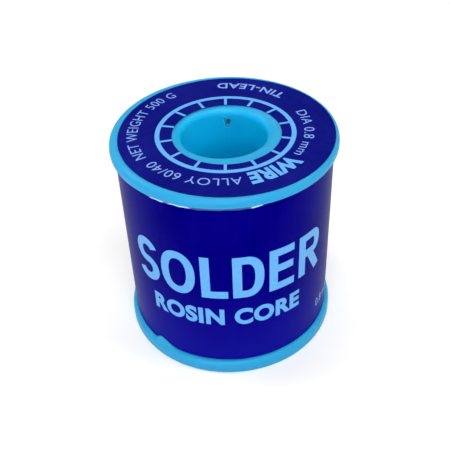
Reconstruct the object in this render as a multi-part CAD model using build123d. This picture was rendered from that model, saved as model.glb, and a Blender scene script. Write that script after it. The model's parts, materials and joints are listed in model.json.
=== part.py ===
from build123d import *
import math
import os

# A 500 g spool of 0.8 mm flux-cored solder wire. Millimetres, +Z up along the bore, origin at the
# centre of the base. -Y is the front, where the wrap label's wording is.

# Driving dimensions
SPOOL_RADIUS = 27.0  # both flanges
SPOOL_HEIGHT = 55.1  # over the two flange faces
BASE_FLANGE = 3.7  # thickness of the lower flange at its rim
TOP_FLANGE = 2.6  # thickness of the upper flange
BORE_RADIUS = 10.25
BARREL_RADIUS = 13.0
WIRE_DIAMETER = 0.8
LAYER_COUNT = 16

# Rounded edges
MOUTH_ROUND = 2.25  # the bore opens out into both outer faces
TOP_RIM_ROUND = 1.5
BASE_RIM_ROUND = 1.2
SMALL_ROUND = 0.5

# Joint between the two half spools: a lapped sleeve with a snap bead
LAP_RADIUS = (BORE_RADIUS + BARREL_RADIUS) / 2
LAP_BOTTOM = 24.5
LAP_TOP = 30.5
LAP_CLEARANCE = 0.05
END_CLEARANCE = 0.1
BEAD_RADIUS = 0.35

# Shallow web under the lower flange, which keeps its wall as thin as the upper flange
WEB_INNER_RADIUS = 14.2
WEB_OUTER_RADIUS = 24.8

# Wire start, held in a V-shaped slot through the barrel wall
SLOT_TOP_WIDTH = 2.2
SLOT_BOTTOM_WIDTH = 0.8
SLOT_HEIGHT = 2.45
SLOT_BELOW_FLANGE = 0.6
SLOT_TURN = -5.5  # degrees from straight behind
FLUX_DIAMETER = 0.3
START_END_RECESS = 0.15  # the cut end sits this far inside the bore's wall
CONTACT_GAP = 0.02

# Printed labels
LABEL_THICKNESS = 0.12
WRAP_THICKNESS = 0.1
WRAP_EDGE_GAP = 0.1
WRAP_OVERLAP_WIDTH = 6.0
LABEL_RADIUS = 25.4
LABEL_HOLE_RADIUS = 12.8
TOP_LABEL_CENTRE = (0.6, -0.55)  # stuck on slightly off centre
TOP_LABEL_HOLE_CENTRE = (0.65, -1.4)  # and its hole is punched nearer the front

# Places that follow from them
WINDING_BOTTOM = BASE_FLANGE
WINDING_TOP = SPOOL_HEIGHT - TOP_FLANGE
WINDING_RADIUS = BARREL_RADIUS + LAYER_COUNT * WIRE_DIAMETER
TURNS_PER_LAYER = round((WINDING_TOP - WINDING_BOTTOM) / WIRE_DIAMETER)
WEB_CEILING = BASE_FLANGE - TOP_FLANGE
SLOT_TOP = WINDING_TOP - SLOT_BELOW_FLANGE
SLOT_BOTTOM = SLOT_TOP - SLOT_HEIGHT


def corners_at(face, places):
    """The face's vertices at the given (radius, height) places."""
    return [
        vertex
        for vertex in face.vertices()
        if any(math.dist((vertex.X, vertex.Y), place) < 0.01 for place in places)
    ]


def turned(points, rounds):
    """A solid of revolution about Z from a closed (radius, height) outline, with its corners rounded."""
    face = make_face(Polyline(points, close=True))
    for radius, places in rounds:
        face = fillet(corners_at(face, places), radius)
    return revolve(Plane.XZ * face, Axis.Z)


def sleeve(inner_radius, outer_radius, bottom, top):
    """A plain tube about Z."""
    height = top - bottom
    ring = Circle(outer_radius) - Circle(inner_radius)
    return Pos(0, 0, bottom) * extrude(ring, height)


def bead(centre_radius, bead_radius):
    """A round ring half way up the lapped joint."""
    middle = (LAP_BOTTOM + LAP_TOP) / 2
    return revolve(Plane.XZ * Pos(centre_radius, middle) * Circle(bead_radius), Axis.Z)


def lower_half_spool():
    """Lower flange with its shallow web, and the barrel's outer sleeve, grooved for the snap bead."""
    outline = [
        (BORE_RADIUS, 0),
        (WEB_INNER_RADIUS, 0),
        (WEB_INNER_RADIUS, WEB_CEILING),
        (WEB_OUTER_RADIUS, WEB_CEILING),
        (WEB_OUTER_RADIUS, 0),
        (SPOOL_RADIUS, 0),
        (SPOOL_RADIUS, BASE_FLANGE),
        (BARREL_RADIUS, BASE_FLANGE),
        (BARREL_RADIUS, LAP_TOP - END_CLEARANCE),
        (LAP_RADIUS, LAP_TOP - END_CLEARANCE),
        (LAP_RADIUS, LAP_BOTTOM),
        (BORE_RADIUS, LAP_BOTTOM),
    ]
    rounds = [
        (MOUTH_ROUND, [(BORE_RADIUS, 0)]),
        (BASE_RIM_ROUND, [(SPOOL_RADIUS, BASE_FLANGE)]),
        (SMALL_ROUND, [(SPOOL_RADIUS, 0), (WEB_INNER_RADIUS, WEB_CEILING), (WEB_OUTER_RADIUS, WEB_CEILING)]),
    ]
    groove = bead(LAP_RADIUS - LAP_CLEARANCE, BEAD_RADIUS + LAP_CLEARANCE)
    return turned(outline, rounds) - groove


def upper_half_spool():
    """Upper flange, and the barrel's inner sleeve that snaps into the lower half."""
    spigot_radius = LAP_RADIUS - LAP_CLEARANCE
    outline = [
        (BORE_RADIUS, LAP_BOTTOM),
        (spigot_radius, LAP_BOTTOM),
        (spigot_radius, LAP_TOP),
        (BARREL_RADIUS, LAP_TOP),
        (BARREL_RADIUS, WINDING_TOP),
        (SPOOL_RADIUS, WINDING_TOP),
        (SPOOL_RADIUS, SPOOL_HEIGHT),
        (BORE_RADIUS, SPOOL_HEIGHT),
    ]
    rounds = [
        (MOUTH_ROUND, [(BORE_RADIUS, SPOOL_HEIGHT)]),
        (TOP_RIM_ROUND, [(SPOOL_RADIUS, SPOOL_HEIGHT)]),
        (SMALL_ROUND, [(SPOOL_RADIUS, WINDING_TOP)]),
    ]
    body = turned(outline, rounds) + bead(spigot_radius, BEAD_RADIUS)
    return body - wire_slot()


def wire_slot():
    """The V-shaped slot through the barrel wall: wide at the flange, as narrow as the wire at its foot."""
    outline = [
        (-SLOT_TOP_WIDTH / 2, SLOT_TOP),
        (SLOT_TOP_WIDTH / 2, SLOT_TOP),
        (SLOT_BOTTOM_WIDTH / 2, SLOT_BOTTOM),
        (-SLOT_BOTTOM_WIDTH / 2, SLOT_BOTTOM),
    ]
    behind_axis = Plane((0, BORE_RADIUS / 2, 0), x_dir=(1, 0, 0), z_dir=(0, -1, 0))
    prism = extrude(behind_axis * make_face(Polyline(outline, close=True)), -BARREL_RADIUS)
    return Rot(0, 0, SLOT_TURN) * prism


def radial_rod(diameter):
    """A straight rod that lies in the foot of the slot, from near the bore to the innermost layer."""
    start = BORE_RADIUS + START_END_RECESS
    length = BARREL_RADIUS - CONTACT_GAP - start
    across = Plane((0, start, SLOT_BOTTOM + WIRE_DIAMETER / 2), x_dir=(1, 0, 0), z_dir=(0, 1, 0))
    return Rot(0, 0, SLOT_TURN) * extrude(across * Circle(diameter / 2), length)


def wire_start():
    """The wire's first end: a tin-lead tube round its flux core."""
    return radial_rod(WIRE_DIAMETER) - radial_rod(FLUX_DIAMETER)


def winding_layer(number):
    """One layer of close turns, counted from the barrel, as a sleeve of the wire's thickness."""
    inner_radius = BARREL_RADIUS + (number - 1) * WIRE_DIAMETER
    return sleeve(inner_radius, inner_radius + WIRE_DIAMETER, WINDING_BOTTOM, WINDING_TOP)


def outermost_layer():
    """The last layer, turn by turn: its outside is a row of half-round ridges, one to each turn."""
    ridge_radius = WINDING_RADIUS - WIRE_DIAMETER / 2
    inner_radius = WINDING_RADIUS - WIRE_DIAMETER
    turn_ends = [(ridge_radius, WINDING_BOTTOM + turn * WIRE_DIAMETER) for turn in range(TURNS_PER_LAYER + 1)]
    ridges = [
        ThreePointArc(low, (WINDING_RADIUS, low[1] + WIRE_DIAMETER / 2), high)
        for low, high in zip(turn_ends, turn_ends[1:])
    ]
    back = Polyline(
        turn_ends[-1],
        (inner_radius, turn_ends[-1][1]),
        (inner_radius, turn_ends[0][1]),
        turn_ends[0],
    )
    return revolve(Plane.XZ * make_face([*ridges, back]), Axis.Z)


def wrap_label():
    """The printed film round the winding, with its end lapped over its start at the back."""
    bottom = WINDING_BOTTOM + WRAP_EDGE_GAP
    top = WINDING_TOP - WRAP_EDGE_GAP
    outer_radius = WINDING_RADIUS + WRAP_THICKNESS
    band = sleeve(WINDING_RADIUS, outer_radius, bottom, top)
    second_turn = sleeve(outer_radius, outer_radius + WRAP_THICKNESS, bottom, top)
    behind = Pos(0, outer_radius, (bottom + top) / 2) * Box(WRAP_OVERLAP_WIDTH, outer_radius / 2, top - bottom)
    return band + (second_turn & behind)


def top_label():
    """A round label on the upper flange, with a round hole that lies over the bore's mouth."""
    disc = Pos(*TOP_LABEL_CENTRE) * Circle(LABEL_RADIUS)
    hole = Pos(*TOP_LABEL_HOLE_CENTRE) * Circle(LABEL_HOLE_RADIUS)
    return Pos(0, 0, SPOOL_HEIGHT) * extrude(disc - hole, LABEL_THICKNESS)


def base_label():
    """A ring label that fits inside the web under the lower flange."""
    ring = Circle(WEB_OUTER_RADIUS - 2 * SMALL_ROUND) - Circle(WEB_INNER_RADIUS + 2 * SMALL_ROUND)
    return Pos(0, 0, WEB_CEILING - LABEL_THICKNESS) * extrude(ring, LABEL_THICKNESS)


pieces = {
    "lower_half_spool": lower_half_spool(),
    "upper_half_spool": upper_half_spool(),
    "wire_start": wire_start(),
    "flux_core": radial_rod(FLUX_DIAMETER),
    "wrap_label": wrap_label(),
    "top_label": top_label(),
    "base_label": base_label(),
}
for number in range(1, LAYER_COUNT):
    pieces[f"solder_layer_{number:02d}"] = winding_layer(number)
pieces[f"solder_layer_{LAYER_COUNT:02d}"] = outermost_layer()

os.makedirs("parts", exist_ok=True)
for name, shape in pieces.items():
    export_step(shape, f"parts/{name}.step")

layer_radii = [BARREL_RADIUS + (number + 0.5) * WIRE_DIAMETER for number in range(LAYER_COUNT)]
wire_length = sum(TURNS_PER_LAYER * math.tau * radius for radius in layer_radii)
print(f"{len(pieces)} pieces, {TURNS_PER_LAYER} turns in each of {LAYER_COUNT} layers")
print(f"wire length {wire_length / 1000:.1f} m")
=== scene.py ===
import json
import math

import bmesh
import bpy
import numpy as np
from mathutils import Matrix, Vector


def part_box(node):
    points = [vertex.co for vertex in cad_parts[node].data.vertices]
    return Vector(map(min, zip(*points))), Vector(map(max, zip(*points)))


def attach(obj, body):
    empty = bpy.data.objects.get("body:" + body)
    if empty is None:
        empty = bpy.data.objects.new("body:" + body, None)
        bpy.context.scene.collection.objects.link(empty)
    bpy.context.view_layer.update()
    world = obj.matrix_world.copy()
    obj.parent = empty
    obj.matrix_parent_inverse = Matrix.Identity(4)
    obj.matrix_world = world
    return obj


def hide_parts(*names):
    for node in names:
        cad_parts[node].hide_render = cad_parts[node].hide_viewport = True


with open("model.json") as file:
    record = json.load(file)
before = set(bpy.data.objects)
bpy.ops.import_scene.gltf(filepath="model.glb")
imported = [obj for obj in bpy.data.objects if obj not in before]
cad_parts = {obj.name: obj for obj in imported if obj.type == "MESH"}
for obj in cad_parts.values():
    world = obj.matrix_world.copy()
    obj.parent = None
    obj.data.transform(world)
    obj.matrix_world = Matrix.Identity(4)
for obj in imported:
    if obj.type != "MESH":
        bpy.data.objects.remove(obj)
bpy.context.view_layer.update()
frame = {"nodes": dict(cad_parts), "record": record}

# --- Upper half spool -----------------------------------------------------------------------
# One glossy polystyrene moulding: the upper flange, and the barrel's inner sleeve, whose bore
# opens out into the flange. A V-shaped slot just under the flange holds the wire's first end.

mm = 0.001
flange_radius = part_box("upper_half_spool")[1].x
spool_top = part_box("upper_half_spool")[1].z
lap_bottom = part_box("upper_half_spool")[0].z
bore_radius = frame["record"]["mounts"][0]["dims"]["r_mm"] * mm
wire_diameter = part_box("wire_start")[1].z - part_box("wire_start")[0].z
barrel_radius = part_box("solder_layer_01")[1].x - wire_diameter
winding_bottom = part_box("solder_layer_01")[0].z
winding_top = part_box("solder_layer_01")[1].z
winding_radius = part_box("solder_layer_16")[1].x

lap_height = 6 * mm
lap_top = lap_bottom + lap_height
lap_radius = (bore_radius + barrel_radius) / 2
mouth_round = 2.25 * mm
top_rim_round = 1.5 * mm
small_round = 0.5 * mm
turn_steps = 256

slot_turn = math.radians(84.5)
slot_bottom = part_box("wire_start")[0].z
slot_height = 2.45 * mm
slot_top = slot_bottom + slot_height
slot_half_columns = 3
slot_half_width = (0.42 * mm, 1.1 * mm)
slot_rows = 5


def rounded_outline(corners, arc_steps=9, flat_reach=1.15):
    """A closed (radius, height) outline with right-angled corners. Each corner is (radius, height, round):
    the round is a quarter circle, point = centre - round * (next side * cos + last side * sin), with one
    more point on the flat beside each end, flat_reach rounds from the corner, so the flat shades flat."""
    places = np.array([corner[:2] for corner in corners])
    rounds = [corner[2] for corner in corners]
    to_last = np.roll(places, 1, 0) - places
    to_next = np.roll(places, -1, 0) - places
    to_last /= np.linalg.norm(to_last, axis=1, keepdims=True)
    to_next /= np.linalg.norm(to_next, axis=1, keepdims=True)
    sweep = np.linspace(0, math.pi / 2, arc_steps)[:, None]
    pieces = []
    for place, last, following, size in zip(places, to_last, to_next, rounds):
        if size == 0:
            pieces.append(place[None])
            continue
        centre = place + size * (last + following)
        arc = centre - size * (following * np.cos(sweep) + last * np.sin(sweep))
        before = place + flat_reach * size * last
        after = place + flat_reach * size * following
        pieces += [before[None], arc, after[None]]
    return np.concatenate(pieces)


def grid_faces(rows, columns, close_rows, close_columns):
    """Quads between neighbouring points of a grid numbered row by row, wrapping round where it is closed."""
    row = np.arange(rows if close_rows else rows - 1)[:, None]
    column = np.arange(columns if close_columns else columns - 1)[None]
    next_row = (row + 1) % rows
    next_column = (column + 1) % columns
    corners = [row * columns + column, row * columns + next_column,
               next_row * columns + next_column, next_row * columns + column]
    return np.stack([np.broadcast_to(corner, (row.size, column.size)) for corner in corners], -1)


def closed_mesh(name, points, faces, crease=math.radians(40)):
    """An object from an (n, 3) array and its faces, turned so that the faces point out of the solid."""
    corners = points[faces[:, :3]]
    volume = np.einsum("ij,ij->i", corners[:, 0], np.cross(corners[:, 1], corners[:, 2])).sum()
    if volume < 0:
        faces = faces[:, ::-1]
    mesh = bpy.data.meshes.new(name)
    mesh.from_pydata(points.tolist(), [], faces.tolist())
    mesh.shade_smooth()
    mesh.set_sharp_from_angle(angle=crease)
    piece = bpy.data.objects.new(name, mesh)
    bpy.context.scene.collection.objects.link(piece)
    return piece


def turned_points(outline, turns):
    """(rows, columns, 3): each outline point carried round Z, at radius * (cos, sin) and its height."""
    radius, height = outline[:, 0, None], outline[:, 1, None]
    return np.stack([radius * np.cos(turns), radius * np.sin(turns), height + 0 * turns], -1)


upper_corners = [
    (bore_radius, lap_bottom, 0),
    (lap_radius, lap_bottom, 0),
    (lap_radius, lap_top, 0),
    (barrel_radius, lap_top, 0),
    (barrel_radius, winding_top, 0),
    (flange_radius, winding_top, small_round),
    (flange_radius, spool_top, top_rim_round),
    (bore_radius, spool_top, mouth_round),
]
upper_outline = rounded_outline(upper_corners)
slot_heights = np.linspace(slot_bottom, slot_top, slot_rows)
outer_slot = np.column_stack([np.full(slot_rows, barrel_radius), slot_heights])
inner_slot = np.column_stack([np.full(slot_rows, bore_radius), slot_heights[::-1]])
outer_start = 4  # the outline's fifth point is the barrel's top
below_slot, above_slot = upper_outline[:outer_start], upper_outline[outer_start:]
upper_outline = np.concatenate([below_slot, outer_slot, above_slot, inner_slot])
inner_start = len(upper_outline) - slot_rows

# The grid's columns bunch towards the slot, so that its slanting sides lie on two of them.
middle = turn_steps // 2
column = np.arange(turn_steps) - middle
even_turn = column * math.tau / turn_steps
outline_radius, outline_height = upper_outline[:, 0, None], upper_outline[:, 1, None]
slot_rise = np.clip((outline_height - slot_bottom) / (slot_top - slot_bottom), 0, 1)
half_turn = (slot_half_width[0] + slot_rise * (slot_half_width[1] - slot_half_width[0])) / outline_radius
bunch_end = 12
bunch_turn = bunch_end * math.tau / turn_steps
inside = column / slot_half_columns * half_turn
past_slot = (np.abs(column) - slot_half_columns) / (bunch_end - slot_half_columns)
beside = half_turn + past_slot * (bunch_turn - half_turn)
turns = np.where(np.abs(column) <= slot_half_columns, inside, np.sign(column) * beside)
turns = np.where(np.abs(column) >= bunch_end, even_turn, turns) + slot_turn
upper_points = turned_points(upper_outline, turns)

# The weld line, where the molten plastic met again below the slot, is a faint ridge down the bore.
weld_height = 0.05 * mm
weld_rows = np.r_[inner_start + slot_rows - 1, 0]
upper_points[weld_rows, middle, :2] *= 1 - weld_height / bore_radius

faces = grid_faces(len(upper_outline), turn_steps, True, True)
low, high = middle - slot_half_columns, middle + slot_half_columns
keep = np.ones(faces.shape[:2], bool)
keep[outer_start:outer_start + slot_rows - 1, low:high] = False
keep[inner_start:inner_start + slot_rows - 1, low:high] = False
number = np.arange(len(upper_outline) * turn_steps).reshape(len(upper_outline), turn_steps)
outer_hole = number[outer_start:outer_start + slot_rows, low:high + 1]
inner_hole = number[inner_start:inner_start + slot_rows, low:high + 1][::-1]


def hole_rim(block):
    """The numbers round the edge of a block, in order."""
    return np.concatenate([block[0, :-1], block[:-1, -1], block[-1, :0:-1], block[:0:-1, 0]])


outer_rim, inner_rim = hole_rim(outer_hole), hole_rim(inner_hole)
slot_sides = np.column_stack([outer_rim, inner_rim, np.roll(inner_rim, -1), np.roll(outer_rim, -1)])
upper_faces = np.concatenate([faces[keep], slot_sides[:, ::-1]])
upper_half = closed_mesh("upper_half_moulding", upper_points.reshape(-1, 3), upper_faces)


def material(name, roughness, **constants):
    """A new Principled material with its constants set on the shader's own sockets."""
    made = bpy.data.materials.new(name)
    made.use_nodes = True
    shader = made.node_tree.nodes["Principled BSDF"]
    shader.inputs["Roughness"].default_value = roughness
    for socket, value in constants.items():
        shader.inputs[socket.replace("_", " ")].default_value = value
    return made, shader


def add_node(made, kind, inputs=None, **settings):
    """A node with its settings, and its inputs set to a value or linked from another node's output."""
    node = made.node_tree.nodes.new(kind)
    for setting, value in settings.items():
        setattr(node, setting, value)
    for socket, value in (inputs or {}).items():
        if isinstance(value, bpy.types.NodeSocket):
            made.node_tree.links.new(value, node.inputs[socket])
        else:
            node.inputs[socket].default_value = value
    return node


def colour_mix(made, factor, first, second):
    """A Mix node's colour between first, where factor is 0, and second, where it is 1. The node keeps
    sockets for every kind of data: 0 is the factor, and 6 and 7 in and 2 out are the colours."""
    return add_node(made, "ShaderNodeMix", {0: factor, 6: first, 7: second}, data_type="RGBA").outputs[2]


# Painted light: the plastic is painted paler in and near the bore, fully up to the first of these distances
# outside the bore and not at all from the second.
bore_light_from = 0.1 * mm
bore_light_to = 1.3 * mm


def moulded_plastic(name, glow):
    """Cyan polystyrene: slow flow clouds in its colour, fine scuffs in its gloss, faint orange peel. In and
    near the
    bore it is painted paler: painted light for the thin barrel wall, with bright wire behind it, throwing
    more light back than the solid rims do. glow is an emission: painted light for the light that soaks
    through the plastic into a narrow slot."""
    made, shader = material(name, 0.45, IOR=1.5, Specular_IOR_Level=0.18, Subsurface_Weight=0.8,
                            Subsurface_Radius=(0.4, 1.0, 1.3), Subsurface_Scale=2.5 * mm,
                            Emission_Color=(0.01, 0.25, 0.45, 1), Emission_Strength=glow)
    place = add_node(made, "ShaderNodeTexCoord").outputs["Object"]
    flow = add_node(made, "ShaderNodeTexNoise",
                    {"Vector": place, "Scale": 60.0, "Detail": 3.0, "Distortion": 1.2})
    fine = add_node(made, "ShaderNodeTexNoise", {"Vector": place, "Scale": 1400.0, "Detail": 4.0})
    tint = colour_mix(made, flow.outputs["Fac"], (0.010, 0.218, 0.415, 1), (0.018, 0.253, 0.455, 1))
    level = add_node(made, "ShaderNodeVectorMath", {0: place, 1: (1, 1, 0)}, operation="MULTIPLY")
    out = add_node(made, "ShaderNodeVectorMath", {0: level.outputs["Vector"]}, operation="LENGTH")
    # Painted light: 1 in the bore, where the colour is painted paler, falling to 0 away from it.
    thin = add_node(made, "ShaderNodeMapRange",
                    {"Value": out.outputs["Value"], "From Min": bore_radius + bore_light_from,
                     "From Max": bore_radius + bore_light_to, "To Min": 1.0, "To Max": 0.0},
                    interpolation_type="SMOOTHSTEP")
    bore_lit_colour = colour_mix(made, thin.outputs[0], tint, (0.010, 0.358, 0.620, 1))
    made.node_tree.links.new(bore_lit_colour, shader.inputs["Base Color"])
    gloss = add_node(made, "ShaderNodeMapRange",
                     {"Value": fine.outputs["Fac"], "To Min": 0.36, "To Max": 0.54})
    made.node_tree.links.new(gloss.outputs[0], shader.inputs["Roughness"])
    peel = add_node(made, "ShaderNodeBump",
                    {"Strength": 0.12, "Distance": 0.02 * mm, "Height": fine.outputs["Fac"]})
    made.node_tree.links.new(peel.outputs[0], shader.inputs["Normal"])
    return made


cyan_plastic = moulded_plastic("moulded_cyan_plastic", 0.0)
upper_half.data.materials.append(cyan_plastic)
# The slot's sides glow by emission: painted light for the light soaking through the plastic.
upper_half.data.materials.append(moulded_plastic("cyan_slot_sides_painted_glow", 0.5))
in_slot = np.arange(len(upper_faces)) >= len(upper_faces) - len(slot_sides)
upper_half.data.polygons.foreach_set("material_index", in_slot.astype(np.int32))
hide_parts("upper_half_spool")
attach(upper_half, "root")

# --- Lower half spool -----------------------------------------------------------------------
# The matching moulding: the thicker-rimmed lower flange, hollowed underneath to a thin web, and
# the barrel's outer sleeve, which the upper half snaps into.

lower_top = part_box("lower_half_spool")[1].z
base_rim_round = 1.2 * mm
web_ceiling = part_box("base_label")[1].z
web_inner_radius = 14.2 * mm
web_outer_radius = 24.8 * mm
foot_round = 0.2 * mm
lower_corners = [
    (bore_radius, 0, mouth_round),
    (web_inner_radius, 0, foot_round),
    (web_inner_radius, web_ceiling, small_round),
    (web_outer_radius, web_ceiling, small_round),
    (web_outer_radius, 0, foot_round),
    (flange_radius, 0, small_round),
    (flange_radius, winding_bottom, base_rim_round),
    (barrel_radius, winding_bottom, 0),
    (barrel_radius, lower_top, 0),
    (lap_radius, lower_top, 0),
    (lap_radius, lap_bottom, 0),
    (bore_radius, lap_bottom, 0),
]
lower_outline = rounded_outline(lower_corners)
even_turns = np.arange(turn_steps) * math.tau / turn_steps
lower_points = turned_points(lower_outline, even_turns[None])

# A burr left on the inner side of this flange's rim, at the front left, has nicked the wrap label.
burr_start = math.radians(-140.5)
burr_end = math.radians(-122)
burr_height = 1.75 * mm


def smooth_step(value):
    """0 to 1 along 3v^2 - 2v^3, flat before and after."""
    held = np.clip(value, 0, 1)
    return held * held * (3 - 2 * held)


def fading(away, reach, fade):
    """1 near, falling smoothly to 0 where away comes to reach, over the last fade before it."""
    return smooth_step((reach - away) / fade)


def burr_rise(turn):
    """The burr's height round the rim: it stands up within a third of its length, then slopes away."""
    along = (turn - burr_start) / (burr_end - burr_start)
    return burr_height * smooth_step(along / 0.34) * fading(along, 1, 0.7)


# It fades out towards the rim's outside, and lies only on the rim's upper half, outside the winding.
burr_fade = 0.9 * mm
signed_turns = np.where(even_turns > math.pi, even_turns - math.tau, even_turns)
on_rim = fading(lower_outline[:, 0], flange_radius, burr_fade)
on_rim *= (lower_outline[:, 0] > winding_radius) & (lower_outline[:, 1] > winding_bottom / 2)
lower_points[..., 2] += on_rim[:, None] * burr_rise(signed_turns)
lower_faces = grid_faces(len(lower_outline), turn_steps, True, True).reshape(-1, 4)
lower_half = closed_mesh("lower_half_moulding", lower_points.reshape(-1, 3), lower_faces)
lower_half.data.materials.append(cyan_plastic)
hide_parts("lower_half_spool")
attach(lower_half, "root")

# --- Solder layers --------------------------------------------------------------------------
# The wound wire, layer on layer from the barrel outwards: bright tin-lead that has dulled a
# little in the air. The CAD shapes are right, so the layers only get their metal.


def dull_solder(name, bright, dark):
    """Tin-lead: grey with drawn streaks round the spool and patches of darker oxide."""
    made, shader = material(name, 0.45, Metallic=0.75)
    place = add_node(made, "ShaderNodeTexCoord").outputs["Object"]
    squeezed = add_node(made, "ShaderNodeMapping", {"Vector": place, "Scale": (1.0, 1.0, 12.0)})
    streaks = add_node(made, "ShaderNodeTexNoise",
                       {"Vector": squeezed.outputs[0], "Scale": 500.0, "Detail": 3.0})
    oxide = add_node(made, "ShaderNodeTexNoise", {"Vector": place, "Scale": 150.0, "Detail": 5.0})
    metal = colour_mix(made, oxide.outputs["Fac"], bright, dark)
    made.node_tree.links.new(metal, shader.inputs["Base Color"])
    gloss = add_node(made, "ShaderNodeMapRange",
                     {"Value": streaks.outputs["Fac"], "To Min": 0.32, "To Max": 0.58})
    made.node_tree.links.new(gloss.outputs[0], shader.inputs["Roughness"])
    return made


solder = dull_solder("tin_lead_wire", (0.62, 0.63, 0.65, 1), (0.36, 0.37, 0.40, 1))
for name, node in frame["nodes"].items():
    if name.startswith("solder_layer"):
        node.data.materials.clear()
        node.data.materials.append(solder)

# --- Wire start and its flux core -----------------------------------------------------------
# The wire's first end, pushed through the foot of the slot and nipped off inside the bore's
# wall, so that the cut shows a ring of metal round a spot of rosin. Both are painted a cyan tint, a painted
# reflection of the cyan plastic round them, in place of bright tin-lead and yellow-brown rosin.

end_recess = 0.15 * mm
contact_gap = 0.02 * mm
start_inner = bore_radius + end_recess
start_outer = barrel_radius - contact_gap
wire_radius = wire_diameter / 2
flux_radius = 0.15 * mm
wire_height = slot_bottom + wire_radius
nip_depth = 0.12 * mm
nip_length = 0.1 * mm
rod_outline_steps = 24


def radial_rod(name, profile):
    """A solid turned about the slot's own radial line: profile is (distance along it, radius) pairs."""
    along, radius = np.array(profile).T[:, :, None]
    round_about = np.arange(rod_outline_steps) * math.tau / rod_outline_steps
    across, up = radius * np.cos(round_about), radius * np.sin(round_about)
    out = along + 0 * round_about
    cos, sin = math.cos(slot_turn), math.sin(slot_turn)
    points = np.stack([out * cos - across * sin, out * sin + across * cos, wire_height + up], -1)
    faces = grid_faces(len(profile), rod_outline_steps, True, True).reshape(-1, 4)
    return closed_mesh(name, points.reshape(-1, 3), faces)


wire_profile = [
    (start_inner, flux_radius),
    (start_inner, wire_radius - nip_depth),
    (start_inner + 0.4 * nip_length, wire_radius - nip_depth / 4),
    (start_inner + nip_length, wire_radius),
    (start_outer, wire_radius),
    (start_outer, flux_radius),
]
wire_start = radial_rod("wire_start_end", wire_profile)
# The cut end's metal is painted a dark cyan: painted reflection of the cyan plastic round it.
cyan_tinted_end = dull_solder("wire_end_painted_cyan", (0.16, 0.33, 0.40, 1), (0.10, 0.24, 0.32, 1))
wire_start.data.materials.append(cyan_tinted_end)
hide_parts("wire_start")
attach(wire_start, "root")


def set_rosin():
    """Clear rosin with cloudy flecks, painted a teal tint: painted light from the cyan plastic round it."""
    made, shader = material("rosin_painted_cyan", 0.2, IOR=1.54)
    place = add_node(made, "ShaderNodeTexCoord").outputs["Object"]
    flecks = add_node(made, "ShaderNodeTexNoise", {"Vector": place, "Scale": 9000.0, "Detail": 2.0})
    rosin_tint = colour_mix(made, flecks.outputs["Fac"], (0.14, 0.24, 0.24, 1), (0.22, 0.31, 0.28, 1))
    made.node_tree.links.new(rosin_tint, shader.inputs["Base Color"])
    return made


flux_core = frame["nodes"]["flux_core"]
flux_core.data.materials.clear()
flux_core.data.materials.append(set_rosin())

# --- Wrap label -----------------------------------------------------------------------------
# A strip of printed film wound once round the wire and lapped over itself behind. Its upper edge
# has come loose at the front left, and its lower edge is nicked by the burr on the flange.

film_thickness = 0.1 * mm
film_lap = 6 * mm
lap_step = 0.02  # the film climbs onto its own start over this many radians
edge_trim = 0.08 * mm
nick_share = 0.85  # of the burr's height
wrap_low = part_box("wrap_label")[0].z
wrap_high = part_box("wrap_label")[1].z
lap_turn = film_lap / winding_radius
strip_steps = 540
height_steps = 64
lip_rows = 24  # of those rows, the ones that lie close together by the upper edge
lip_start = 0.97
loose_turn = math.radians(-104)
loose_half_width = math.radians(31)
fold_drop = 0.55 * mm
fold_slope = 0.8
fold_return = 0.25


def ripple(turn, waves):
    """A slow uneven wave round the spool: a sum of sines, each (waves round, size, shift)."""
    return sum(size * np.sin(count * turn + shift) for count, size, shift in waves)


def wrap_surface(turn, rise, film_side):
    """Radius, height and share of the fold's depth. turn runs from behind, once round and on over the lap;
    rise is 0 at the lower edge and 1 at the upper. The radius is the winding's, plus one film where it lies
    on its own start, plus, where the upper edge is loose, a fold that slopes out for fold_drop and then
    back. film_side is 0 inside and 1 outside."""
    travelled = turn - turn.min()
    on_itself = smooth_step((travelled - (math.tau - lap_step)) / lap_step)
    low_edge = wrap_low + edge_trim + ripple(turn, [(3, 0.05 * mm, 0.4), (7, 0.03 * mm, 2.0)])
    low_edge = low_edge + nick_share * burr_rise(turn)
    height = low_edge + rise * (wrap_high - low_edge)
    loose = fading(np.abs(turn - loose_turn) / loose_half_width, 1.15, 0.3)
    slope = fold_slope + ripple(turn, [(17, 0.12, 0.9), (41, 0.10, 0.2), (73, 0.05, 1.3)])
    below_edge = (wrap_high - height) / fold_drop
    back_in = fading(below_edge, 1 + fold_return, fold_return)
    fold = slope * fold_drop * np.where(below_edge < 1, below_edge, back_in)
    radius = winding_radius + film_thickness * (on_itself + film_side) + loose * fold
    return radius, height, below_edge


def painted_crease_glint(turn, below_edge):
    """How strongly a glint is painted on the fold's crease, 0 to 1: painted highlight in a narrow band round
    the fold's furthest reach, faint all along the loose edge and strong on a few stretches, each (centre,
    half length) in degrees."""
    faint, strong = 0.12, 0.9
    band_middle, band_half_height = 0.9, 0.34
    glint_share = faint * fading(np.abs(turn - loose_turn) / loose_half_width, 1.1, 0.3)
    for centre, half_length in [(-125, 4), (-113, 5.6), (-76, 3)]:
        away = np.abs(np.degrees(turn) - centre) / half_length
        glint_share = np.maximum(glint_share, strong * fading(away, 1.2, 0.5))
    return glint_share * fading(np.abs(below_edge - band_middle), band_half_height, 0.12)


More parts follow.
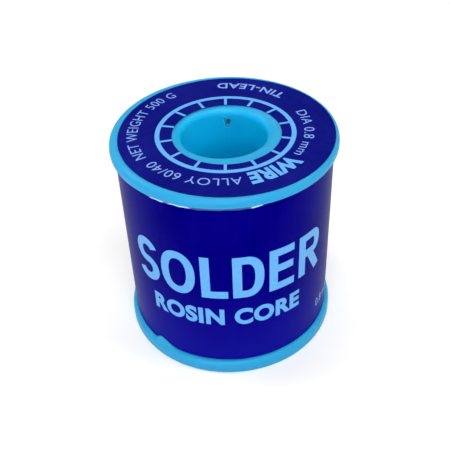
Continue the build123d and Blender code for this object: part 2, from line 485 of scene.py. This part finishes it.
strip_start = math.pi / 2 - lap_turn / 2
turn = strip_start + np.linspace(-math.tau, lap_turn, strip_steps)[None]
even_rise = np.linspace(0, lip_start, height_steps - lip_rows)
lip_rise = np.linspace(lip_start, 1, lip_rows + 1)[1:]
rise = np.concatenate([even_rise, lip_rise])[:, None]
turn, rise = np.broadcast_arrays(turn, rise)
outside_radius, height, below_edge = wrap_surface(turn, rise, 1)
inside_radius = wrap_surface(turn, rise, 0)[0]
outside = np.stack([outside_radius * np.cos(turn), outside_radius * np.sin(turn), height], -1)
inside = np.stack([inside_radius * np.cos(turn), inside_radius * np.sin(turn), height], -1)
sheet_loop = np.concatenate([outside, inside[::-1]])
loop_rows = len(sheet_loop)
number = np.arange(loop_rows * strip_steps).reshape(loop_rows, strip_steps)
outer_numbers, inner_numbers = number[:height_steps], number[:height_steps - 1:-1]


def end_faces(outer_end, inner_end):
    """The quads that close a strip's cut end, between its outer and its inner edge."""
    return np.column_stack([outer_end[:-1], outer_end[1:], inner_end[1:], inner_end[:-1]])


wrap_faces = np.concatenate([
    grid_faces(loop_rows, strip_steps, True, False).reshape(-1, 4),
    end_faces(outer_numbers[:, -1], inner_numbers[:, -1]),
    end_faces(outer_numbers[:, 0], inner_numbers[:, 0])[:, ::-1],
])
wrap_film = closed_mesh("wrap_label_film", sheet_loop.reshape(-1, 3), wrap_faces)
# Painted highlight: each point's share of the painted glint on the fold's crease, none inside.
glint_layer = wrap_film.data.attributes.new("painted_crease_glint", "FLOAT", "POINT")
outside_glint = painted_crease_glint(turn, below_edge)
glint_layer.data.foreach_set("value", np.concatenate([outside_glint, np.zeros_like(outside_glint)]).ravel())


wave_repeat = 0.314  # a wave texture of scale 1 repeats about this often, in metres


def printed_film(name, dark, light, turns_show):
    """Deep blue satin film: ink that varies between dark and light in clouds and upright streaks, fine dust
    in the gloss and, where turns_show is above 0, the wire's turns just telling through as level ridges."""
    made, shader = material(name, 0.3, Specular_IOR_Level=0.02)
    place = add_node(made, "ShaderNodeTexCoord").outputs["Object"]
    upright = add_node(made, "ShaderNodeMapping", {"Vector": place, "Scale": (1.0, 1.0, 0.06)})
    streaks = add_node(made, "ShaderNodeTexNoise",
                       {"Vector": upright.outputs[0], "Scale": 700.0, "Detail": 3.0})
    clouds = add_node(made, "ShaderNodeTexNoise", {"Vector": place, "Scale": 70.0, "Detail": 4.0})
    ink = add_node(made, "ShaderNodeMath",
                   {0: streaks.outputs["Fac"], 1: 0.5, 2: clouds.outputs["Fac"]}, operation="MULTIPLY_ADD")
    spread = add_node(made, "ShaderNodeMapRange", {"Value": ink.outputs[0], "From Min": 0.5, "From Max": 1.0})
    blue = colour_mix(made, spread.outputs[0], dark, light)
    made.node_tree.links.new(blue, shader.inputs["Base Color"])
    dust = add_node(made, "ShaderNodeTexNoise", {"Vector": place, "Scale": 1500.0, "Detail": 3.0})
    gloss = add_node(made, "ShaderNodeMapRange",
                     {"Value": dust.outputs["Fac"], "To Min": 0.28, "To Max": 0.42})
    made.node_tree.links.new(gloss.outputs[0], shader.inputs["Roughness"])
    rings = add_node(made, "ShaderNodeTexWave",
                     {"Vector": place, "Scale": wave_repeat / wire_diameter,
                      "Distortion": 0.3, "Detail": 2.0}, bands_direction="Z", wave_profile="SIN")
    relief = add_node(made, "ShaderNodeMath", {0: rings.outputs["Fac"], 1: turns_show}, operation="MULTIPLY")
    with_dust = add_node(made, "ShaderNodeMath",
                         {0: dust.outputs["Fac"], 1: 0.15, 2: relief.outputs[0]}, operation="MULTIPLY_ADD")
    bump = add_node(made, "ShaderNodeBump",
                    {"Strength": 0.1, "Distance": 0.002 * mm, "Height": with_dust.outputs[0]})
    made.node_tree.links.new(bump.outputs[0], shader.inputs["Normal"])
    return made


def paint_light_on_print(made):
    """Paints light on the print: a lighter blue towards the strip's foot, painted light for the brighter
    light there, and the pale blue-white of painted glints where the mesh's attribute of painted glints is
    high."""
    shader = made.node_tree.nodes["Principled BSDF"]
    printed = shader.inputs["Base Color"].links[0].from_socket
    place = add_node(made, "ShaderNodeTexCoord").outputs["Object"]
    height = add_node(made, "ShaderNodeSeparateXYZ", {"Vector": place}).outputs["Z"]
    # Painted light: the film is painted a lighter blue towards its foot, for the brighter light that falls
    # there.
    foot_light_share = add_node(made, "ShaderNodeMapRange",
                         {"Value": height, "From Min": wrap_low, "From Max": wrap_high / 2,
                          "To Min": 1.0, "To Max": 0.0})
    foot_lit_colour = colour_mix(made, foot_light_share.outputs[0], printed, (0.0062, 0.0058, 0.188, 1))
    # Painted highlight: pale blue-white glints on the crease, read from the mesh's attribute.
    glint_share = add_node(made, "ShaderNodeAttribute", attribute_name="painted_crease_glint").outputs["Fac"]
    glinted_colour = colour_mix(made, glint_share, foot_lit_colour, (0.50, 0.72, 1.0, 1))
    made.node_tree.links.new(glinted_colour, shader.inputs["Base Color"])
    return made


wrap_print = printed_film("blue_wrap_film", (0.0018, 0.0012, 0.112, 1), (0.0040, 0.0030, 0.146, 1), 1.0)
wrap_film.data.materials.append(paint_light_on_print(wrap_print))
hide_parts("wrap_label")
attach(wrap_film, "root")

# --- Wording on the wrap label --------------------------------------------------------------
# Pale ink on the blue film: a big plain SOLDER, a smaller bold line below it, and a small note at
# the right. Every stroke of the big letters is a ribbon of ink, carried round with the film.

cap_height = 12.5 * mm
stroke = 0.173  # in cap heights, like every size inside a letter
word_centre_turn = math.radians(-89.6)
word_foot = 25.5 * mm
ink_lift = 0.012 * mm
ink_thickness = 0.02 * mm
cut_spacing = 0.6 * mm


def ribbon(path, closed=False, across_steps=5):
    """(along, across, 2): a flat path carried sideways by half a stroke each way, square to its direction."""
    if closed:
        direction = np.roll(path, -1, 0) - np.roll(path, 1, 0)
    else:
        direction = np.gradient(path, axis=0)
    direction /= np.linalg.norm(direction, axis=1, keepdims=True)
    side = np.column_stack([-direction[:, 1], direction[:, 0]])
    offset = np.linspace(-stroke / 2, stroke / 2, across_steps)
    return path[:, None] + offset[None, :, None] * side[:, None]


def bar(start, end, steps=24):
    """A straight ribbon between two points."""
    return ribbon(np.linspace(start, end, steps))


def oval_path(centre, radii, from_degrees, to_degrees, fullness=2.0, steps=40):
    """Points of an oval: centre + radius * sign(cos) * |cos| ** (2 / fullness), and the same with sin."""
    sweep = np.radians(np.linspace(from_degrees, to_degrees, steps))
    cos, sin = np.cos(sweep), np.sin(sweep)
    x = centre[0] + radii[0] * np.sign(cos) * np.abs(cos) ** (2 / fullness)
    y = centre[1] + radii[1] * np.sign(sin) * np.abs(sin) ** (2 / fullness)
    return np.column_stack([x, y])


def bowl(left, right, low, high, straight, fullness=2.4):
    """A ribbon that runs right from the stem, round a half oval, and back to the stem."""
    turn_radii = (right - stroke / 2 - straight, (high - low - stroke) / 2)
    centre = (straight, (low + high) / 2)
    curve = oval_path(centre, turn_radii, 90, -90, fullness)
    top = np.linspace((left, high - stroke / 2), (straight, high - stroke / 2), 12)[:-1]
    bottom = np.linspace((straight, low + stroke / 2), (left, low + stroke / 2), 12)[1:]
    return ribbon(np.concatenate([top, curve, bottom]))


def letter_strokes(letter, width):
    """The ribbons of one capital, in cap heights, with its left foot at the origin."""
    edge, half = width - stroke / 2, stroke / 2
    stem = bar((half, 0), (half, 1))
    if letter == "S":
        over, under = edge - half - 0.01, edge - half
        upper = oval_path((width / 2, 0.712), (over / 2, 0.215), 22, 270, 2.1)
        lower = oval_path((width / 2, 0.282), (under / 2, 0.215), 90, -158, 2.1)
        return [ribbon(np.concatenate([upper, lower[1:]]))]
    if letter == "O":
        path = oval_path((width / 2, 0.5), (width / 2 - half, 0.515 - half), 0, 360, 2.25, 73)[:-1]
        return [ribbon(path, closed=True)]
    if letter == "L":
        return [stem, bar((stroke, half), (width, half))]
    if letter == "D":
        return [stem, bowl(stroke, width, 0, 1, width * 0.42)]
    if letter == "E":
        arms = [(1 - half, width - 0.01), (0.53, width - 0.03), (half, width)]
        return [stem, *(bar((stroke, height), (reach, height)) for height, reach in arms)]
    leg = np.linspace((width * 0.5, 0.45), (width - half * 1.15, 0), 24)
    return [stem, bowl(stroke, width * 0.95, 0.43, 1, width * 0.55), ribbon(leg)]


def round_the_film(x, y, lift):
    """Flat ink carried round the wrap: turn = centre + x / radius, and height = foot + y."""
    radius = winding_radius + film_thickness + lift
    turn = word_centre_turn + x / radius
    return np.stack([radius * np.cos(turn), radius * np.sin(turn), word_foot + y], -1)


def ink_slab(grid, closed):
    """Points and faces of a thin closed slab of ink whose plan is the (along, across, 2) grid."""
    top = round_the_film(grid[..., 0], grid[..., 1], ink_lift + ink_thickness)
    bottom = round_the_film(grid[..., 0], grid[..., 1], ink_lift)
    section = np.concatenate([top, bottom[:, ::-1]], 1)
    rows, columns = section.shape[:2]
    faces = [grid_faces(rows, columns, closed, True).reshape(-1, 4)]
    if not closed:
        half = columns // 2
        number = np.arange(rows * columns).reshape(rows, columns)
        for row, order in ((number[0], -1), (number[-1], 1)):
            faces.append(end_faces(row[:half], row[:half - 1:-1])[:, ::order])
    return section.reshape(-1, 3), np.concatenate(faces)


def joined(slabs):
    """Several closed meshes as one array of points and one of faces."""
    counts = np.cumsum([0] + [len(points) for points, _ in slabs])
    points = np.concatenate([points for points, _ in slabs])
    return points, np.concatenate([faces + start for (_, faces), start in zip(slabs, counts)])


# Each letter's width, and the gap that follows it.
letters = {"S": 0.58, "O": 0.708, "L": 0.50, "D": 0.593, "E": 0.543, "R": 0.64}
gaps = [0.07, 0.109, 0.094, 0.104, 0.119, 0]
slabs = []
pen = -(sum(letters.values()) + sum(gaps)) / 2
for (letter, width), gap in zip(letters.items(), gaps):
    for strip in letter_strokes(letter, width):
        grid = (strip + np.array([pen, 0])) * cap_height
        slabs.append(ink_slab(grid, closed=letter == "O"))
    pen += width + gap
solder_word = closed_mesh("big_solder_wording", *joined(slabs))


def pale_ink(name, thin, thick):
    """Pale screen ink, thinner in places so that a little of the blue tells through."""
    made, shader = material(name, 0.3, Specular_IOR_Level=0.2)
    place = add_node(made, "ShaderNodeTexCoord").outputs["Object"]
    cover = add_node(made, "ShaderNodeTexNoise", {"Vector": place, "Scale": 1100.0, "Detail": 4.0})
    pale = colour_mix(made, cover.outputs["Fac"], thin, thick)
    made.node_tree.links.new(pale, shader.inputs["Base Color"])
    return made


cyan_ink = pale_ink("pale_cyan_ink", (0.050, 0.238, 0.52, 1), (0.100, 0.288, 0.57, 1))
lavender_ink = pale_ink("pale_lavender_ink", (0.105, 0.215, 0.51, 1), (0.160, 0.265, 0.56, 1))
solder_word.data.materials.append(cyan_ink)
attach(solder_word, "root")


def wording_mesh(name, body, height, width, weight):
    """Wording as a thin closed slab in the XY plane, centred on x = 0 with its feet on y = 0, cut by upright
    planes close enough together to be bent round a curve."""
    text = bpy.data.curves.new(name, "FONT")
    text.body = body
    text.offset = weight
    text.space_character = 1.08
    text.extrude = 0.01  # any thickness will do, as the slab is scaled to its size below
    holder = bpy.data.objects.new(name, text)
    mesh = bpy.data.meshes.new_from_object(holder)
    bpy.data.objects.remove(holder)
    points = np.empty(len(mesh.vertices) * 3)
    mesh.vertices.foreach_get("co", points)
    points = points.reshape(-1, 3)
    low, high = points.min(0), points.max(0)
    points -= [(low[0] + high[0]) / 2, low[1], low[2]]
    points *= np.array([width, height, ink_thickness]) / (high - low)
    mesh.vertices.foreach_set("co", points.ravel())
    shape = bmesh.new()
    shape.from_mesh(mesh)
    bmesh.ops.remove_doubles(shape, verts=shape.verts, dist=0.001 * mm)
    for cut in np.arange(-width / 2, width / 2, cut_spacing):
        everything = shape.verts[:] + shape.edges[:] + shape.faces[:]
        bmesh.ops.bisect_plane(shape, geom=everything, plane_co=(cut, 0, 0), plane_no=(1, 0, 0))
    shape.to_mesh(mesh)
    shape.free()
    return mesh


def bend(mesh, bending):
    """Moves every point of a mesh by a function of its x, y and z arrays."""
    points = np.empty(len(mesh.vertices) * 3)
    mesh.vertices.foreach_get("co", points)
    x, y, z = points.reshape(-1, 3).T
    mesh.vertices.foreach_set("co", bending(x, y, z).ravel())
    mesh.update()


def place_wording(name, mesh, ink):
    """An object for a finished piece of wording, in its ink, riding with the spool."""
    piece = bpy.data.objects.new(name, mesh)
    bpy.context.scene.collection.objects.link(piece)
    mesh.materials.clear()
    mesh.materials.append(ink)
    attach(piece, "root")
    return piece


def round_the_wrap(centre_turn, foot):
    """Wording bent round the wrap: turn = centre + x / radius, and height = foot + y."""

    def bending(x, y, z):
        radius = winding_radius + film_thickness + ink_lift + z
        turn = centre_turn + x / (winding_radius + film_thickness)
        return np.stack([radius * np.cos(turn), radius * np.sin(turn), foot + y], -1)

    return bending


second_line = wording_mesh("rosin_core_wording", "ROSIN CORE", height=5.4 * mm, width=38.5 * mm, weight=0.045)
bend(second_line, round_the_wrap(centre_turn=math.radians(-92.8), foot=16.5 * mm))
place_wording("rosin_core_wording", second_line, cyan_ink)
side_note = wording_mesh("wire_size_wording", "0.8 mm", height=2.6 * mm, width=8.6 * mm, weight=0.0)
bend(side_note, round_the_wrap(centre_turn=math.radians(-24), foot=9.6 * mm))
place_wording("wire_size_wording", side_note, lavender_ink)

# --- Top label ------------------------------------------------------------------------------
# A die-cut ring of the same film, stuck on a little off centre, so that more of the cyan flange
# shows at the left than at the right. Its outer edge droops over the flange's rounded rim.

label_low, label_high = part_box("top_label")
label_radius = (label_high.x - label_low.x) / 2
label_centre = ((label_high.x + label_low.x) / 2, (label_high.y + label_low.y) / 2)
label_hole_radius = 12.8 * mm
label_hole_centre = (0.65 * mm, -1.4 * mm)
film_top = label_high.z - ink_lift - ink_thickness
ring_steps = 288
ring_turns = np.arange(ring_steps)[None] * math.tau / ring_steps


def ring_film(name, centre, outer_radius, hole_centre, hole_radius, low, high, across_steps=40):
    """A flat ring of film. Each point is (1 - share) * the hole's edge + share * the rim's edge, and share
    runs from 0 to 1 on top and back underneath. Where the rim lies past the flange's flat it droops, by
    (reach past the flat) squared / twice the rim's round."""
    top = np.linspace(0, 1, across_steps)
    share = np.concatenate([top, top[::-1]])[:, None]
    height = np.repeat([high, low], across_steps)[:, None]
    radius = hole_radius + share * (outer_radius - hole_radius)
    x = hole_centre[0] + share * (centre[0] - hole_centre[0]) + radius * np.cos(ring_turns)
    y = hole_centre[1] + share * (centre[1] - hole_centre[1]) + radius * np.sin(ring_turns)
    reach = np.clip(np.hypot(x, y) - (flange_radius - top_rim_round), 0, None)
    points = np.stack([x, y, height - reach ** 2 / (2 * top_rim_round)], -1)
    faces = grid_faces(len(share), ring_steps, True, True).reshape(-1, 4)
    return closed_mesh(name, points.reshape(-1, 3), faces)


top_film = ring_film("top_label_film", label_centre, label_radius, label_hole_centre, label_hole_radius,
                     label_low.z, film_top)
flat_blue = printed_film("blue_label_film", (0.0036, 0.0052, 0.108, 1), (0.0070, 0.0090, 0.138, 1), 0.0)
top_film.data.materials.append(flat_blue)
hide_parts("top_label")
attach(top_film, "root")

# The pale printing on the top label: a circle with spokes in to the hole, and lines of plain
# wording round it.

top_circle_radius = 16.5 * mm
circle_width = 1.1 * mm
spoke_width = 0.68 * mm
spoke_count = 14
spoke_rows = 6
spoke_turn = math.radians(88.5)
hole_margin = 0.03 * mm
circle_lap = 0.02 * mm


def reach_to_hole(angle, centre, hole_centre, hole_radius):
    """How far a ray from centre at this angle runs before it crosses the hole's edge: along + sqrt(radius
    squared - across squared), where along and across are the hole's centre seen from the ray."""
    away = (hole_centre[0] - centre[0], hole_centre[1] - centre[1])
    along = away[0] * math.cos(angle) + away[1] * math.sin(angle)
    across = away[1] * math.cos(angle) - away[0] * math.sin(angle)
    return along + math.sqrt(hole_radius ** 2 - across ** 2)


def ring_and_spokes(name, centre, ring_radius, hole_centre, hole_radius, base):
    """A ring, and spokes that run from its inside to the hole's edge, each a thin closed slab."""
    inner = ring_radius - circle_width
    radii = np.array([inner, ring_radius, ring_radius, inner])
    level = base + ink_lift + np.array([1, 1, 0, 0]) * ink_thickness
    ring = turned_points(np.column_stack([radii, level]), ring_turns)
    slabs = [(ring.reshape(-1, 3), grid_faces(4, ring_steps, True, True).reshape(-1, 4))]
    side = np.array([-0.5, 0.5, 0.5, -0.5]) * spoke_width
    for number in range(spoke_count):
        angle = spoke_turn + number * math.tau / spoke_count
        reach = reach_to_hole(angle, centre, hole_centre, hole_radius)
        along = np.linspace(reach + hole_margin, inner + circle_lap, spoke_rows)[:, None]
        x = along * math.cos(angle) - side * math.sin(angle)
        y = along * math.sin(angle) + side * math.cos(angle)
        points = np.stack([x, y, level + 0 * x], -1).reshape(-1, 3)
        last = 4 * (spoke_rows - 1)
        ends = np.array([[3, 2, 1, 0], [last, last + 1, last + 2, last + 3]])
        slabs.append((points, np.concatenate([grid_faces(spoke_rows, 4, False, True).reshape(-1, 4), ends])))
    points, faces = joined(slabs)
    return closed_mesh(name, points + [*centre, 0], faces)


print_centre = (0.37 * mm, -1.0 * mm)
top_ring = ring_and_spokes("top_label_ring_print", print_centre, top_circle_radius, label_hole_centre,
                           label_hole_radius, film_top)
top_ring.data.materials.append(cyan_ink)
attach(top_ring, "root")

text_centre = (-0.27 * mm, -0.13 * mm)


def round_the_top(foot_radius, centre_turn, tops_outward=True):
    """Wording bent round the top label. Tops outward it reads clockwise: turn = centre - x / radius and
    radius = foot + y. Tops inward both signs change."""
    sense = 1 if tops_outward else -1

    def bending(x, y, z):
        turn = centre_turn - sense * x / foot_radius
        radius = foot_radius + sense * y
        x, y = text_centre[0] + radius * np.cos(turn), text_centre[1] + radius * np.sin(turn)
        return np.stack([x, y, film_top + ink_lift + z], -1)

    return bending


# Each line is its words, the degrees where it starts and ends, its foot radius, height, weight and ink.
lines = {
    "alloy": ("ALLOY 60/40", 280.6, 217, 19.3 * mm, 2.5 * mm, -0.004, lavender_ink),
    "net_weight": ("NET WEIGHT 500 G", 210, 124, 19.9 * mm, 2.6 * mm, -0.004, lavender_ink),
    "diameter": ("DIA 0.8 mm", 21, -35, 19.0 * mm, 2.4 * mm, -0.004, lavender_ink),
    "wire": ("WIRE", 321, 285, 18.2 * mm, 4.4 * mm, 0.05, cyan_ink),
}
for line, (words, start, end, foot_radius, height, weight, ink) in lines.items():
    centre_turn = math.radians((start + end) / 2)
    width = math.radians(start - end) * foot_radius
    mesh = wording_mesh(f"{line}_wording", words, height, width, weight)
    bend(mesh, round_the_top(foot_radius, centre_turn))
    place_wording(f"{line}_wording", mesh, ink)
tin_lead = wording_mesh("tin_lead_wording", "TIN-LEAD", height=2.6 * mm, width=19 * mm, weight=0.02)
bend(tin_lead, round_the_top(foot_radius=22.4 * mm, centre_turn=math.radians(68), tops_outward=False))
place_wording("tin_lead_wording", tin_lead, lavender_ink)

# --- Base label -----------------------------------------------------------------------------
# A ring of the same film inside the web under the lower flange, with a printed circle and spokes
# of its own on its underside.

base_low, base_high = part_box("base_label")
base_hole_radius = 15.2 * mm
base_circle_radius = 19 * mm
base_film = ring_film("base_label_film", (0, 0), base_high.x, (0, 0), base_hole_radius,
                      base_low.z, base_high.z)
base_film.data.materials.append(flat_blue)
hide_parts("base_label")
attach(base_film, "root")

# The print hangs as far below this film as the other print stands above the top one.
print_base = base_low.z - 2 * ink_lift - ink_thickness
base_ring = ring_and_spokes("base_label_ring_print", (0, 0), base_circle_radius, (0, 0), base_hole_radius,
                            print_base)
base_ring.data.materials.append(cyan_ink)
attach(base_ring, "root")

# --- Floor, light and camera ----------------------------------------------------------------
# A plain pale floor under soft studio light, seen from the front and above.

floor_size = 40 * flange_radius
floor_corners = floor_size * np.array([(-1, -1, 0), (1, -1, 0), (1, 1, 0), (-1, 1, 0)])
floor_mesh = bpy.data.meshes.new("floor")
floor_mesh.from_pydata(floor_corners.tolist(), [], [(0, 1, 2, 3)])
floor = bpy.data.objects.new("floor", floor_mesh)
bpy.context.scene.collection.objects.link(floor)
floor_white, floor_shader = material("pale_floor", 0.9, Specular_IOR_Level=0.0)
floor_shader.inputs["Base Color"].default_value = (0.71, 0.71, 0.71, 1)
floor.data.materials.append(floor_white)

world = bpy.data.worlds.new("studio")
world.use_nodes = True
background = world.node_tree.nodes["Background"]
background.inputs["Color"].default_value = (1.0, 0.95, 0.9, 1)
background.inputs["Strength"].default_value = 0.38
bpy.context.scene.world = world
# Plain contrast: whatever is dimmer than the black level shows as black.
display = bpy.context.scene.view_settings
display.view_transform = "Standard"
display.use_curve_mapping = True
display.curve_mapping.black_level = (0.007, 0.007, 0.007)
display.curve_mapping.update()


def softbox(name, place, size, power):
    """A square soft light that faces the middle of the spool."""
    light = bpy.data.lights.new(name, "AREA")
    light.shape = "SQUARE"
    light.size = size
    light.energy = power
    lamp = bpy.data.objects.new(name, light)
    lamp.location = place
    towards = Vector((0, 0, spool_top / 2)) - lamp.location
    lamp.rotation_euler = towards.to_track_quat("-Z", "Y").to_euler()
    bpy.context.scene.collection.objects.link(lamp)


softbox("key_softbox", (0.03, -0.44, 0.42), 0.4, 3.1)
softbox("right_softbox", (0.42, -0.08, 0.42), 0.25, 1.5)
softbox("left_softbox", (-0.40, 0.12, 0.42), 0.25, 1.3)
softbox("top_softbox", (0.0, 0.25, 0.6), 0.4, 1.5)
softbox("low_front_softbox", (-0.20, -0.50, 0.09), 0.12, 0.9)
softbox("left_lamp", (-0.45, -0.2, 0.36), 0.04, 0.12)
softbox("front_left_lamp", (-0.36, -0.40, 0.38), 0.04, 0.12)

camera_distance = 6.393 * flange_radius
camera_rise = math.radians(32.09)
camera_pan = math.radians(0.22)
camera_tilt = math.radians(-7.39)
camera_roll = math.radians(-2.49)
camera_data = bpy.data.cameras.new("camera")
camera_data.sensor_width = 36
camera_data.lens = 58.56
camera_data.clip_start = 0.01
camera = bpy.data.objects.new("camera", camera_data)
bpy.context.scene.collection.objects.link(camera)
bpy.context.scene.camera = camera
# It looks along the line to the middle of the spool's top, then turns by its pan, tilt and roll.
aim = Matrix.Rotation(math.pi / 2 - camera_rise, 4, "X")
turn_camera = Matrix.Rotation(camera_pan, 4, "Y") @ Matrix.Rotation(camera_tilt, 4, "X")
turn_camera = turn_camera @ Matrix.Rotation(camera_roll, 4, "Z")
stand = Matrix.Translation((0, -camera_distance * math.cos(camera_rise),
                            spool_top + camera_distance * math.sin(camera_rise)))
camera.matrix_world = stand @ aim @ turn_camera
